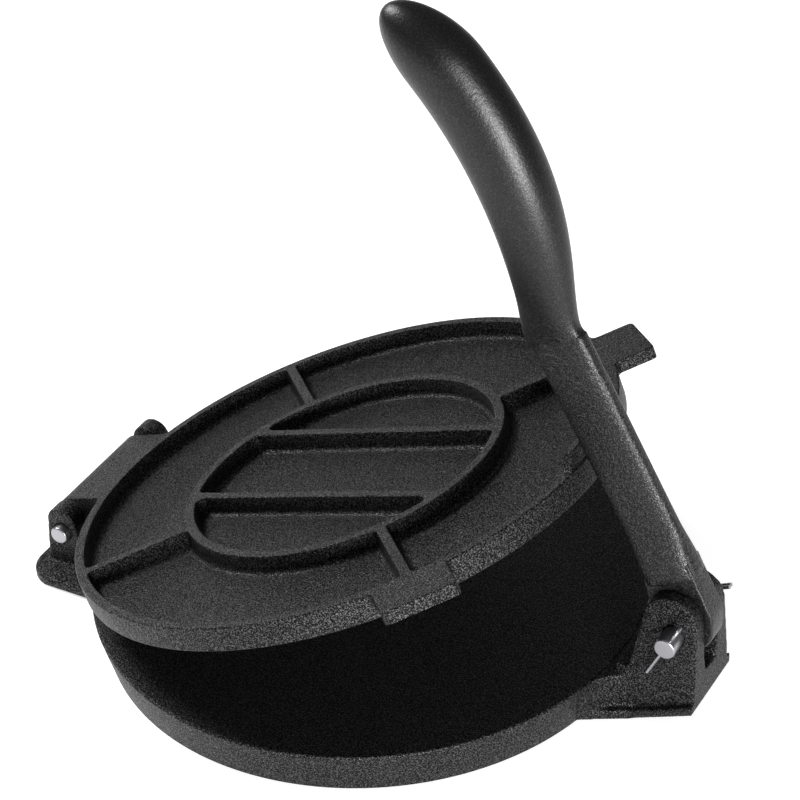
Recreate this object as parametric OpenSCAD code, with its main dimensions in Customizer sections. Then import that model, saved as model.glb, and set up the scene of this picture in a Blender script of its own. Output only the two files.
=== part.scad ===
// Cast iron tortilla press: a round base, a hinged lid and a lever that presses the lid down.
// Frame: +X runs from the hinge to the lever, +Z is up, the origin is on the table
// under the centre of the plates. All lengths are millimetres and angles are degrees.

/* [Pose] */
// Angle of the lid above its shut position
lid_open = 18.2; // [2:0.1:40]
// Angle by which the lever is swung outwards from where it leans on the open lid
lever_swing = 0; // [0:1:110]

/* [Base] */
// How far the top edge of the base stands in from the edge of the lid
base_inset = 0.5; // [0:0.5:6]
// How far the side wall leans in between its top edge and its foot
base_draft = 4.5; // [0.5:0.5:6]
// Height of the base, from the table to its pressing face
base_h = 22; // [20:0.5:25]
// Thickness of the pressing plate of the base
base_plate_t = 6; // [5:0.5:10]
// Thickness of the side wall of the base
base_wall_t = 6; // [5:0.5:12]
// Thickness of the flange and foot plate at the bottom
flange_t = 5; // [4:0.5:7]

/* [Lid] */
// Radius of the lid
lid_r = 130; // [129.5:0.5:133]
// Height of the lid from its pressing face to the top of its rim
lid_h = 12; // [11:0.5:13]
// Clearance between the two pressing faces when the lid is shut
plate_gap = 0.3; // [0.2:0.1:1]
// Width of the rim and the narrowest ribs of the lid
rim_w = 4.2; // [3:0.2:6]
// Thickness of the lid between its ribs
lid_floor_t = 3.4; // [3:0.2:5]
// Outer radius of the ring rib
ring_r = 76; // [60:1:90]
// Width of the ring rib, the straight ribs and the diagonal ribs
rib_w = 3.6; // [2.5:0.1:5]
// Distance between the middles of the two straight ribs
straight_rib_gap = 53.7; // [40:1:70]
// Width of a lifting tab
tab_w = 33.6; // [26:1:44]
// Reach of a lifting tab beyond the rim
tab_reach = 18.5; // [14:0.5:26]
// Thickness of a lifting tab
tab_t = 6; // [5:0.5:8]
// Corner radius of a lifting tab
tab_corner_r = 3; // [2:0.5:7]
// Length along the rim of the raised pad that the lever bears on
pad_len = 21; // [16:0.5:26]
// Height of that pad above the rim
pad_h = 7.5; // [5:0.5:8]
// How far the outer face of that pad stands back from the rim
pad_inset = 0.7; // [0.5:0.1:2]

/* [Lid hinge] */
// Distance of the hinge axis beyond the edge of the lid
hinge_out = 15.7; // [14.5:0.1:18]
// Height of the hinge axis above the pressing face of the base
hinge_rise = 1.3; // [0.8:0.1:3]
// Radius of the hinge pin
hinge_pin_r = 4.5; // [3.5:0.25:5]
// Width of the lug of the lid between the ears
lug_w = 57.2; // [50:0.4:62]
// Side clearance between the lug and each ear
lug_gap = 3; // [0.5:0.1:4]
// Thickness of a hinge ear
hinge_ear_t = 9.5; // [8:0.5:14]
// Radius of the rounded top of a hinge ear
hinge_ear_r = 8; // [7:0.25:8.25]
// How much further the ear reaches out at its foot
hinge_ear_flare = 3; // [1:0.5:5]
// Height of the middle of that rounded top above the hinge axis
hinge_ear_rise = 5.2; // [3:0.2:7]
// Reach of the foot plate beyond the hinge axis
foot_reach = 15.5; // [13:0.5:20]
// Reach of the foot plate beyond the outer face of an ear
foot_side = 14; // [8:0.5:17]
// Corner radius of the foot plate
foot_corner_r = 14; // [8:1:16]
// How far the hinge pin stands out of each ear
hinge_pin_out = 3.4; // [1:0.2:6]

/* [Lever bracket] */
// Lean of the lever bar, above level, when the lever rests over the open lid
lever_lean = 63.7; // [61:0.1:66]
// Clearance between the leaning lever and the rim of the lid as the lid swings past it
lever_gap = 0.3; // [0.2:0.1:1]
// Height of the lever axis above the table
lever_z = 48.7; // [47.5:0.1:53]
// Radius of the lever pin
lever_pin_r = 5; // [4:0.25:5.5]
// Radius of the rounded top of a bracket ear
ear_r = 13; // [11:0.5:14]
// Height of the middle of that rounded top above the lever axis
ear_rise = 5; // [3:0.5:8]
// How far the middle of that rounded top lies inside the lever axis, towards the plates
ear_back = 2; // [0:0.5:3.5]
// How far each side of the ears leans in towards the top
ear_taper = 4.5; // [0:0.5:5]
// Thickness of a bracket ear
ear_t = 11.4; // [8:0.5:13]
// Width of the slot between the bracket ears
slot_w = 13; // [11:0.5:15]
// Width of the slot at its floor
slot_foot_w = 10.4; // [8:0.2:11]
// Height of the floor of that slot above the pressing face of the base
slot_floor_rise = 4.5; // [2:0.5:6]
// Clearance between the rim of the shut lid and the raised neck of the bracket
neck_gap = 2.5; // [1:0.5:4]
// Radius of the hollow sweep between the side wall and the bracket
sweep_r = 20; // [12:1:24]
// How far the bottom flange stands out beyond the bracket's sides
flange_out = 3; // [1:0.5:5]
// Slope of the underside at the end of the bracket
toe_angle = 23; // [10:1:30]
// Length of that slope
toe_len = 28; // [20:1:34]

/* [Lever] */
// Depth of the lever bar, seen from the side
bar_depth = 26; // [24:0.5:28]
// Thickness of the lever bar
bar_t = 9.5; // [8:0.5:12]
// How far the pressing edge of the bar lies under the lever axis
bar_under = 8.4; // [8:0.1:9.4]
// Thickness of the shoulder where the bar meets the bracket
shoulder_t = 15; // [13:0.5:20]
// Distance of the shoulder from the lever axis
shoulder_u = 20.5; // [20:0.5:26]
// Distance from the lever axis at which the bar begins to curve into the grip
grip_start = 140; // [120:1:150]
// Distance of the tip of the grip from the lever axis
lever_len = 298; // [280:1:330]
// How far the middle of the grip rises over the middle of the bar
grip_rise = 15.2; // [10:0.2:22]
// How far the tip of the grip ends over the middle of the bar
tip_rise = -1.4; // [-3:0.2:4]
// Depth of the grip at its fullest
grip_depth = 35; // [28:1:40]
// Thickness of the grip at its fullest
grip_t = 28; // [20:1:32]
// Radius of the round end of the tongue
tongue_r = 14.3; // [12:0.1:16]
// Side clearance between the tongue and each bracket ear
tongue_gap = 0.5; // [0.3:0.1:1]

/* [Pins] */
// Radial clearance of each pin in the part that turns on it
pin_clear = 0.08; // [0.02:0.01:0.1]
// How far the lever pin stands out of each bracket ear
lever_pin_out = 7; // [6:0.5:10]
// Radius of the wire of a split pin
cotter_r = 0.9; // [0.7:0.05:1]
// Radius of the eye of a split pin, to the middle of its wire
eye_r = 2.6; // [2.2:0.1:3.2]
// Clearance round a split pin in its hole
cotter_gap = 0.15; // [0.1:0.05:0.3]
// Length of a split pin below its eye
cotter_len = 29; // [20:0.5:32]
// Length of the one on the far side, whose legs are cut shorter
cotter_far_len = 21; // [16:0.5:26]
// Angle of the near split pin from upright, its legs leaning towards the plates
cotter_lean = 28; // [0:1:40]
// Angle by which the far split pin is turned further round the lever pin
cotter_turn = 217; // [180:1:240]

/* [Hidden] */
iron = [0.09, 0.09, 0.095];
steel = [0.78, 0.78, 0.8];
eps = 0.01;

base_r = lid_r - base_inset;
hinge_reach = lid_r + hinge_out;
lid_z = base_h + plate_gap;
lid_top = lid_z + lid_h;
hinge_x = -hinge_reach;
hinge_z = base_h + hinge_rise;
lug_r = lid_top - hinge_z;
hinge_ear_in = lug_w / 2 + lug_gap;
hinge_ear_out = hinge_ear_in + hinge_ear_t;
ear_in = slot_w / 2;
ear_out = ear_in + ear_t;
ear_top_z = lever_z + ear_rise;
slot_floor = base_h + slot_floor_rise;
tongue_t = slot_w - 2 * tongue_gap;
bar_mid = bar_depth / 2 - bar_under;
pad_out_r = lid_r - pad_inset;

// The lever axis stands just far enough out for the leaning bar to clear the swinging lid
lid_swing_r = max(norm([lid_r + hinge_reach, lid_top - hinge_z]),
                  norm([pad_out_r + hinge_reach, lid_top + pad_h - hinge_z]));
lever_reach = (lid_swing_r + lever_gap + bar_under - (lever_z - hinge_z) * cos(lever_lean))
    / sin(lever_lean) - hinge_reach;
ear_x = lever_reach - ear_back;
toe_x = ear_x + ear_r;
sweep_far = base_r + sweep_r - 0.2;
sweep_y = ear_out + sweep_r;
sweep_x = sqrt(sweep_far * sweep_far - sweep_y * sweep_y);
hinge_pin_len = 2 * (hinge_ear_out + hinge_pin_out);
lever_pin_len = 2 * (ear_out + lever_pin_out);
cotter_y = ear_out + lever_pin_out / 2;
cotter_hole_r = 2 * cotter_r + cotter_gap;
cotter_leg = cotter_r + cotter_gap / 3;
// Small roots that the sub-parts share where they grow out of each other
ear_brace = 6;
flange_root = 12;
flange_spread = 16;
root = 16;

// A bar of the given length centred on y = 0, with its axis along Y
module across(r, len, fn = 96) rotate([90, 0, 0]) cylinder(r = r, h = len, center = true, $fn = fn);

// An outline drawn as x and z, given a width along Y and centred on y = 0
module slab(w) rotate([90, 0, 0]) linear_extrude(w, center = true) children();

// The children at y and again at -y, mirrored
module both_sides() {
    children();
    mirror([0, 1, 0]) children();
}

// ---------------------------------------------------------------- base
module base_bowl() {
    difference() {
        cylinder(r1 = base_r - base_draft, r2 = base_r, h = base_h, $fn = 180);
        translate([0, 0, -eps])
            cylinder(r = base_r - base_draft - base_wall_t, h = base_h - base_plate_t + eps, $fn = 180);
    }
}

// Hollow sweep, seen from above, that leads from the side wall to the bracket
module sweep_outline() {
    difference() {
        translate([base_r - sweep_r, 0]) square([sweep_x - base_r + sweep_r, sweep_y * base_r / sweep_far]);
        translate([sweep_x, sweep_y]) circle(r = sweep_r, $fn = 96);
    }
}

// Side outline of the bracket: the neck, the sloping toe and one ear
module bracket_outline() {
    toe_z = toe_len * tan(toe_angle);
    difference() {
        union() {
            translate([base_r - sweep_r, 0]) square([toe_x - base_r + sweep_r, base_h - eps]);
            translate([lid_r + neck_gap, 0]) square([toe_x - lid_r - neck_gap, slot_floor]);
            translate([ear_x - ear_r, slot_floor - eps])
                square([2 * ear_r, ear_top_z - slot_floor + eps]);
            translate([ear_x, ear_top_z]) circle(r = ear_r, $fn = 96);
            polygon([[ear_x - ear_r - ear_brace, slot_floor - eps], [ear_x - ear_r + eps, slot_floor - eps],
                     [ear_x - ear_r + eps, ear_top_z]]);
        }
        polygon([[toe_x - toe_len, -1], [toe_x - toe_len, 0], [toe_x + 1, toe_z + 1], [toe_x + 1, -1]]);
    }
}

// Bottom flange of the bracket, which follows the sloping toe
module bracket_flange() {
    slope = tan(toe_angle);
    bend_x = toe_x - toe_len;
    root_x = base_r - flange_root;
    slab(2 * (ear_out + flange_out))
        polygon([[root_x, 0], [bend_x, 0], [toe_x, toe_len * slope],
                 [toe_x, toe_len * slope + flange_t], [bend_x, flange_t], [root_x, flange_t]]);
    linear_extrude(flange_t)
        polygon([[root_x, -ear_out - flange_spread], [bend_x, -ear_out - flange_out],
                 [bend_x, ear_out + flange_out], [root_x, ear_out + flange_spread]]);
}

// The slot, seen from the end: it narrows towards its floor
module slot_outline() {
    full_z = lever_z - tongue_r;
    top_z = ear_top_z + ear_r + 1;
    polygon([[-slot_foot_w / 2, slot_floor], [slot_foot_w / 2, slot_floor], [slot_w / 2, full_z],
             [slot_w / 2, top_z], [-slot_w / 2, top_z], [-slot_w / 2, full_z]]);
}

// Front view of the bracket: upright sides up to the plate, then leaning in up to the top of the ears
module taper_outline() {
    full_z = ear_top_z + ear_r + 1;
    polygon([[-ear_out - 1, -1], [-ear_out - 1, base_h], [-ear_out, base_h], [ear_taper - ear_out, full_z],
             [ear_out - ear_taper, full_z], [ear_out, base_h], [ear_out + 1, base_h], [ear_out + 1, -1]]);
}
module bracket() {
    neck_len = toe_x - base_r + sweep_r;
    difference() {
        union() {
            intersection() {
                slab(2 * ear_out) bracket_outline();
                translate([base_r - sweep_r - 1, 0, 0])
                    rotate([90, 0, 90]) linear_extrude(neck_len + 2) taper_outline();
            }
            both_sides()
                difference() {
                    translate([0, 0, flange_t - eps])
                        linear_extrude(base_h - flange_t + eps) sweep_outline();
                    translate([base_r - sweep_r - 1, -1, -1]) cube([sweep_r - base_wall_t, ear_out, base_h + 9]);
                }
            bracket_flange();
        }
        translate([base_r + 2, 0, 0]) rotate([90, 0, 90]) linear_extrude(neck_len) slot_outline();
        translate([lever_reach, 0, lever_z]) across(lever_pin_r + pin_clear, 2 * ear_out + 2);
    }
}

// Side outline of a hinge ear and the root that carries it out from the base
module hinge_ear_outline() {
    top_z = hinge_z + hinge_ear_rise;
    translate([hinge_x - hinge_ear_r, 0]) square([hinge_reach - base_r + hinge_ear_r + root, base_h - 1]);
    translate([hinge_x - hinge_ear_r, 0]) square([2 * hinge_ear_r, top_z]);
    translate([hinge_x, top_z]) circle(r = hinge_ear_r, $fn = 80);
    polygon([[hinge_x - hinge_ear_r - hinge_ear_flare, 0], [hinge_x, 0], [hinge_x, top_z],
             [hinge_x - hinge_ear_r, top_z]]);
}

module foot_plate() {
    half = hinge_ear_out + foot_side;
    corner_x = hinge_x - foot_reach + foot_corner_r;
    linear_extrude(flange_t) {
        translate([corner_x, -half]) square([hinge_reach - base_r + foot_reach + root, 2 * half]);
        translate([hinge_x - foot_reach, -half + foot_corner_r])
            square([foot_corner_r + 1, 2 * (half - foot_corner_r)]);
        for (side = [-1, 1])
            translate([corner_x, side * (half - foot_corner_r)]) circle(r = foot_corner_r, $fn = 80);
    }
}

module hinge_ears() {
    difference() {
        both_sides()
            translate([0, hinge_ear_in + hinge_ear_t / 2, 0]) slab(hinge_ear_t) hinge_ear_outline();
        translate([hinge_x, 0, hinge_z]) across(hinge_pin_r + pin_clear, 2 * hinge_ear_out + 2);
    }
}

// What stands outside the bowl of the base must not fill its hollow underside
module outside_bowl() {
    difference() {
        children();
        translate([0, 0, -1]) cylinder(r = base_r - base_draft - base_wall_t + 1, h = base_h - base_plate_t + 2, $fn = 180);
    }
}

module base() {
    color(iron) {
        base_bowl();
        outside_bowl() {
            bracket();
            hinge_ears();
            foot_plate();
        }
    }
}

// ---------------------------------------------------------------- lid
module ring_of(r_out, r_in, h) {
    difference() {
        cylinder(r = r_out, h = h, $fn = 180);
        translate([0, 0, -eps]) cylinder(r = r_in, h = h + 2 * eps, $fn = 180);
    }
}

// Lifting tab, seen from above: a plate with rounded outer corners
module tab_outline() {
    inner = lid_r - rim_w;
    end = lid_r + tab_reach;
    translate([inner, -tab_w / 2]) square([end - tab_corner_r - inner, tab_w]);
    translate([inner, -tab_w / 2 + tab_corner_r]) square([end - inner, tab_w - 2 * tab_corner_r]);
    for (side = [-1, 1])
        translate([end - tab_corner_r, side * (tab_w / 2 - tab_corner_r)]) circle(r = tab_corner_r, $fn = 64);
}

module lid_ribs() {
    ribs_h = lid_h - lid_floor_t + eps;
    inner_ring_r = ring_r - rib_w;
    translate([0, 0, lid_floor_t - eps]) {
        ring_of(ring_r, inner_ring_r, ribs_h);
        intersection() {
            cylinder(r = ring_r - 1, h = ribs_h, $fn = 180);
            for (side = [-1, 1])
                translate([-ring_r, side * straight_rib_gap / 2 - rib_w / 2, 0]) cube([2 * ring_r, rib_w, ribs_h]);
        }
        for (turn = [45:90:315])
            rotate([0, 0, turn])
                translate([ring_r - 1, -rib_w / 2, 0]) cube([lid_r - rim_w - ring_r + 2, rib_w, ribs_h]);
    }
}

// Raised pad on the front of the rim, which the lever presses on
module lid_pad() {
    intersection() {
        translate([0, 0, lid_h - 1]) ring_of(pad_out_r, lid_r - rim_w, pad_h + 1);
        translate([0, -pad_len / 2, 0]) cube([lid_r, pad_len, lid_h + pad_h]);
    }
}

// Lug that carries the lid on the hinge pin
module lid_lug() {
    outer = lid_r - rim_w / 2;
    difference() {
        union() {
            translate([hinge_x, -lug_w / 2, 0]) cube([hinge_reach - outer + root, lug_w, lid_h]);
            translate([hinge_x, 0, hinge_z - lid_z]) across(lug_r, lug_w);
        }
        translate([0, 0, lid_floor_t]) cylinder(r = outer, h = lid_h, $fn = 180);
    }
}

module lid_shut() {
    difference() {
        union() {
            difference() {
                cylinder(r = lid_r, h = lid_h, $fn = 180);
                translate([0, 0, lid_floor_t]) cylinder(r = lid_r - rim_w, h = lid_h, $fn = 180);
            }
            lid_ribs();
            lid_pad();
            for (turn = [-45, 45])
                rotate([0, 0, turn])
                    difference() {
                        translate([0, 0, lid_h - tab_t]) linear_extrude(tab_t) tab_outline();
                        cylinder(r = lid_r - rim_w / 2, h = lid_h + 1, $fn = 180);
                    }
            lid_lug();
        }
        translate([hinge_x, 0, hinge_z - lid_z]) across(hinge_pin_r + pin_clear, lug_w + 2);
    }
}

module lid() {
    color(iron)
        translate([hinge_x, 0, hinge_z]) rotate([0, -lid_open, 0])
            translate([-hinge_x, 0, lid_z - hinge_z]) lid_shut();
}

// ---------------------------------------------------------------- lever
// The lever is drawn level: u runs along it from the lever axis, v is its outer, upper side.
ring_points = 28;
bar_stations = [0, 0.05, 0.12, 0.2, 0.26, 0.55, 1];
grip_steps = 22;

function mix(a, b, t) = a + (b - a) * t;
function smooth(t) = let (c = min(1, max(0, t))) c * c * (3 - 2 * c);
function bezier(p, t) =
    p[0] * pow(1 - t, 3) + 3 * p[1] * t * pow(1 - t, 2) + 3 * p[2] * t * t * (1 - t) + p[3] * pow(t, 3);

// Middle line of the grip: level at the bar, over the hump and down to the tip
grip_len = lever_len - grip_start;
grip_line = [[grip_start, bar_mid], [grip_start + grip_len * 0.05, bar_mid - grip_rise * 0.6],
             [lever_len - grip_len * 0.6, bar_mid + grip_rise * 2.6], [lever_len, bar_mid + tip_rise]];

// How round the end of the grip is at t: 1 over most of it, falling to 0 at the tip
tip_at = 0.885;
function tip_close(t) = t < tip_at ? 1 : sqrt(max(0.0004, 1 - pow((t - tip_at) / (1 - tip_at), 2)));

// Half depth, half thickness and squareness of the section at t along the grip
function grip_section(t) = [
    mix(bar_depth / 2, grip_depth / 2, smooth((t - 0.05) / 0.85)) * tip_close(t),
    mix(bar_t / 2, grip_t / 2, smooth(t / 0.7)) * tip_close(t),
    mix(7, 2.2, smooth(t / 0.35))];

function wave(c, n) = sign(c) * pow(abs(c), 2 / n);
function section_ring(u, v, half_d, half_t, n) = [
    for (k = [0:ring_points - 1])
        let (turn = 360 * k / ring_points)
            [-u, half_t * wave(sin(turn), n), v + half_d * wave(cos(turn), n)]];

bar_rings = [
    for (s = bar_stations)
        section_ring(mix(shoulder_u, grip_start, s), bar_mid, bar_depth / 2,
                     mix(shoulder_t, bar_t, smooth((s - 0.05) / 0.18)) / 2, 7)];
grip_rings = [
    for (k = [1:grip_steps])
        let (t = sin(90 * k / grip_steps), p = bezier(grip_line, t), g = grip_section(t))
            section_ring(p[0], p[1], g[0], g[1], g[2])];
arm_rings = concat(bar_rings, grip_rings);
arm_points = [for (r = arm_rings) for (p = r) p];

function quad(i, k) =
    let (a = i * ring_points + k, b = i * ring_points + (k + 1) % ring_points)
        [a, a + ring_points, b + ring_points, b];

arm_faces = concat(
    [[for (k = [0:ring_points - 1]) k]],
    [for (i = [0:len(arm_rings) - 2]) for (k = [0:ring_points - 1]) quad(i, k)],
    [[for (k = [ring_points - 1:-1:0]) (len(arm_rings) - 1) * ring_points + k]]);

module arm() polyhedron(points = arm_points, faces = arm_faces, convexity = 4);

// Tongue, seen from the side: a round end that widens into the bar
module tongue_outline() {
    top_v = bar_depth - bar_under;
    root_u = shoulder_u + 8;
    circle(r = tongue_r, $fn = 96);
    translate([-2.5, 4]) circle(r = tongue_r - 2.5, $fn = 96);
    polygon([[3, 4 + tongue_r - 3.5], [3, -bar_under], [-root_u, -bar_under + 1], [-root_u, top_v - 1],
             [-shoulder_u + 2, top_v - 1], [-8, top_v - 1.6]]);
}

module lever_level() {
    difference() {
        union() {
            arm();
            slab(tongue_t) tongue_outline();
        }
        across(lever_pin_r + pin_clear, slot_w + 4);
    }
}

module lever() {
    color(iron)
        translate([lever_reach, 0, lever_z]) rotate([0, lever_lean + lever_swing, 0]) lever_level();
}

// ---------------------------------------------------------------- pins
module hinge_pin() {
    color(steel) translate([hinge_x, 0, hinge_z]) across(hinge_pin_r, hinge_pin_len);
}

// The children at the place and angle of each split pin
module at_cotter() {
    translate([lever_reach, -cotter_y, lever_z]) rotate([0, cotter_lean, 0]) children();
}
module at_far_cotter() {
    translate([lever_reach, cotter_y, lever_z]) rotate([0, cotter_lean + cotter_turn, 0]) children();
}
module cotter_hole() cylinder(r = cotter_hole_r, h = 2 * lever_pin_r + 2, center = true, $fn = 48);

module lever_pin() {
    color(steel)
        difference() {
            translate([lever_reach, 0, lever_z]) across(lever_pin_r, lever_pin_len);
            at_cotter() cotter_hole();
            at_far_cotter() cotter_hole();
        }
}

// One split pin: a round eye on top and two legs side by side, whose ends are bent apart
module split_pin(len) {
    eye_z = lever_pin_r + eye_r + 2 * cotter_r;
    for (side = [-1, 1])
        translate([0, side * cotter_leg, eye_z - len])
            cylinder(r = cotter_r, h = len - eye_r, $fn = 24);
    translate([0, 0, eye_z])
        rotate([0, 90, 0]) rotate_extrude($fn = 48) translate([eye_r, 0]) circle(r = cotter_r, $fn = 24);
}

module split_pins() {
    color(steel) {
        at_cotter() split_pin(cotter_len);
        at_far_cotter() split_pin(cotter_far_len);
    }
}

base();
lid();
lever();
hinge_pin();
lever_pin();
split_pins();
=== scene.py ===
# %% [markdown]
# # A cast iron tortilla press
# The press is five pieces and two split pins: a round base, a ribbed lid that is hinged to it, and a curved
# lever. Everything is cast in sand and blackened by baked-on oil, apart from the bright steel pins. The
# mechanical model gives each body its place, so every piece below is drawn in that same frame, in metres.

# %% Load the frame
import math

import bmesh
import bpy
from mathutils import Matrix, Vector
from mathutils.geometry import convex_hull_2d, tessellate_polygon

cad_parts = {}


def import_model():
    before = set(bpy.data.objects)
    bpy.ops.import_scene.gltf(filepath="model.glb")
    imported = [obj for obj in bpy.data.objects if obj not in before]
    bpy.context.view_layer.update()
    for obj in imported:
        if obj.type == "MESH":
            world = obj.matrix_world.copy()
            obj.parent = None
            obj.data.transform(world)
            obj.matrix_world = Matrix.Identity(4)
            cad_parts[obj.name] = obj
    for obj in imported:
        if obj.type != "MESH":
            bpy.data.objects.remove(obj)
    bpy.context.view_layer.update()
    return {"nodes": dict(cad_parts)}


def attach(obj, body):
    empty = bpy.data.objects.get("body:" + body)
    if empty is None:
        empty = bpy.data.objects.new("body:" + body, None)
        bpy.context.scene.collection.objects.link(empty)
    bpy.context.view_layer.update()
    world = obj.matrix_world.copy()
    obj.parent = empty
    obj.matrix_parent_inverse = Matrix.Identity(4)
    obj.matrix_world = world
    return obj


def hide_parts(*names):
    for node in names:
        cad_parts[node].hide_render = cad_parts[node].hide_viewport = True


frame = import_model()
NODES = frame["nodes"]
MM = 0.001

# %% [markdown]
# ## Sizes
# These are the sizes of the castings in millimetres, with +X from the lid hinge to the lever and +Z up. The
# lid and the lever are drawn in their own easy poses, the lid shut and the lever level, and are then turned
# into place.

# %% Sizes and turns
LID_R, LID_H, LID_Z = 130.0, 12.0, 22.3
BASE_R, BASE_H, BASE_DRAFT = 129.5, 22.0, 4.5
HINGE = Vector((-145.7, 0, 23.3))
PIVOT = Vector((159.23, 0, 48.7))
LID_OPEN, LEVER_LEAN = math.radians(18.2), math.radians(63.7)


def turned(point, centre, angle):
    """The point turned about a line along Y through the centre; a positive angle lowers +X."""
    d = Vector(point) - centre
    c, s = math.cos(angle), math.sin(angle)
    return centre + Vector((d.x * c + d.z * s, d.y, d.z * c - d.x * s))


def lid_place(p):
    return turned(Vector(p) + Vector((0, 0, LID_Z)), HINGE, -LID_OPEN)


def lever_place(p):
    return turned(Vector((-p[0], p[1], p[2])) + PIVOT, PIVOT, LEVER_LEAN)


# %% [markdown]
# ## Mesh helpers
# A casting has no sharp edges, so each outline is lofted through a profile that rounds the top edge, leans
# the wall and fills the corner at its foot. A closed outline is a ring of points that all share one
# direction.

# %% Helpers for outlines and lofts
WELD = 0.00001  # metres within which two points count as one


def solid(name, verts, faces, place=None, crease=35):
    """A mesh object from points in millimetres, welded, with its faces outwards and soft shading."""
    mesh = bpy.data.meshes.new(name)
    mesh.from_pydata([Vector(place(v) if place else v) * MM for v in verts], [], faces)
    bm = bmesh.new()
    bm.from_mesh(mesh)
    bmesh.ops.remove_doubles(bm, verts=bm.verts, dist=WELD)
    bmesh.ops.dissolve_degenerate(bm, edges=bm.edges, dist=WELD)
    bmesh.ops.recalc_face_normals(bm, faces=bm.faces)
    bm.to_mesh(mesh)
    bm.free()
    mesh.shade_smooth()
    mesh.set_sharp_from_angle(angle=math.radians(crease))
    obj = bpy.data.objects.new(name, mesh)
    bpy.context.scene.collection.objects.link(obj)
    print(name, len(mesh.polygons), "faces")
    return obj


def arc(centre, r, a0, a1, n):
    """Points on an arc, with the angles in degrees."""
    steps = [math.radians(a0 + (a1 - a0) * k / n) for k in range(n + 1)]
    return [(centre[0] + r * math.cos(a), centre[1] + r * math.sin(a)) for a in steps]


def turn2(points, degrees):
    c, s = math.cos(math.radians(degrees)), math.sin(math.radians(degrees))
    return [(x * c - y * s, x * s + y * c) for x, y in points]


def area2(points):
    return sum(a[0] * b[1] - b[0] * a[1] for a, b in zip(points, points[1:] + points[:1])) / 2


def tidy_ring(points, gap=0.02):
    """The outline anticlockwise, without repeated points."""
    ring = [p for k, p in enumerate(points) if math.dist(p, points[k - 1]) > gap]
    return ring if area2(ring) > 0 else ring[::-1]


def offset(ring, d):
    """The ring moved outwards by d; a negative d moves it inwards."""
    out = []
    for k, p in enumerate(ring):
        a, b = Vector(ring[k - 1]), Vector(ring[(k + 1) % len(ring)])
        e0, e1 = (Vector(p) - a).normalized(), (b - Vector(p)).normalized()
        n = Vector((e0.y + e1.y, -e0.x - e1.x)).normalized()
        miter = max(0.5, n.dot(Vector((e0.y, -e0.x))))
        out.append((p[0] + n.x * d / miter, p[1] + n.y * d / miter))
    return out


def quarter(r, n, foot=False):
    """A rounded corner as (across, down) steps: over a top edge, or into the foot of a wall."""
    angles = [math.pi / 2 * k / n for k in range(n + 1)]
    if foot:
        return [(r * (1 - math.cos(a)), r * math.sin(a)) for a in angles]
    return [(r * math.sin(a), r * (1 - math.cos(a))) for a in angles]


def loft(rings, closed=True):
    """Faces that join rings with the same number of points."""
    n = len(rings[0])
    verts = [p for ring in rings for p in ring]
    faces = [[i * n + k, i * n + (k + 1) % n, (i + 1) * n + (k + 1) % n, (i + 1) * n + k]
             for i in range(len(rings) - 1) for k in range(n if closed else n - 1)]
    return verts, faces


class Shell:
    """Collects lofts and caps into one list of points and faces."""

    def __init__(self):
        self.verts, self.faces = [], []

    def add(self, verts, faces):
        start = len(self.verts)
        self.verts += verts
        self.faces += [[start + i for i in f] for f in faces]

    def cap(self, z, outer, holes=()):
        loops = [[Vector((x, y, 0)) for x, y in ring] for ring in (outer, *holes)]
        flat = [(x, y, z) for ring in (outer, *holes) for x, y in ring]
        self.add(flat, [list(t) for t in tessellate_polygon(loops)])


# %% [markdown]
# ## The lid
# The lid is a shallow dish turned upside down: a flat pressing face below, and above it a rim, a ring and a
# few straight ribs that keep it stiff. It could be cut out of a disc with booleans, but those leave knife
# edges. Here the top face is one sheet with a hole for each pocket, and each pocket's wall is lofted down
# from its hole.

# %% Outlines of the pockets
RIM_W, RING_R, RIB_W, BAND = 4.2, 76.0, 3.6, 53.7
FLOOR_T = 3.4
RIM_IN, RING_IN = LID_R - RIM_W, RING_R - RIB_W


def fillet_spot(r, line, f, inside):
    """Centre of a fillet that touches a circle about the origin and a line beside the X axis."""
    reach = r - f if inside else r + f
    return (math.sqrt(reach ** 2 - line ** 2), line)


def sector_pocket(f_in=2.6, f_out=3.2):
    """One of the four pockets between the ring and the rim, drawn between the ribs at 0 and 90 degrees."""
    half = RIB_W / 2
    ci = fillet_spot(RING_R, half + f_in, f_in, False)
    co = fillet_spot(RIM_IN, half + f_out, f_out, True)
    ai, ao = math.degrees(math.atan2(ci[1], ci[0])), math.degrees(math.atan2(co[1], co[0]))
    low = arc(ci, f_in, 180 + ai, 270, 8) + arc(co, f_out, 270, 360 + ao, 8)
    rim = arc((0, 0), RIM_IN, ao, 90 - ao, 72)
    high = [(y, x) for x, y in low[::-1]]
    ring = arc((0, 0), RING_R, 90 - ai, ai, 44)
    return tidy_ring(low + rim + high + ring)


def band_pocket(line_low, line_high, f=4.0):
    """A pocket inside the ring between two straight ribs; None for a line means the ring itself."""
    if line_high is None:
        c = fillet_spot(RING_IN, line_low + f, f, True)
        a = math.degrees(math.atan2(c[1], c[0]))
        right = arc(c, f, 270, 360 + a, 10)
        points = right + arc((0, 0), RING_IN, a, 180 - a, 72) + [(-x, y) for x, y in right[::-1]]
    else:
        c = fillet_spot(RING_IN, line_high - f, f, True)
        a = math.degrees(math.atan2(c[1], c[0]))
        right = arc((0, 0), RING_IN, 0, a, 20)[:-1] + arc(c, f, a, 90, 10)
        top = right + [(-x, y) for x, y in right[::-1]]
        points = top + [(-x, -y) for x, y in top]
    return tidy_ring(points)


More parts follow.
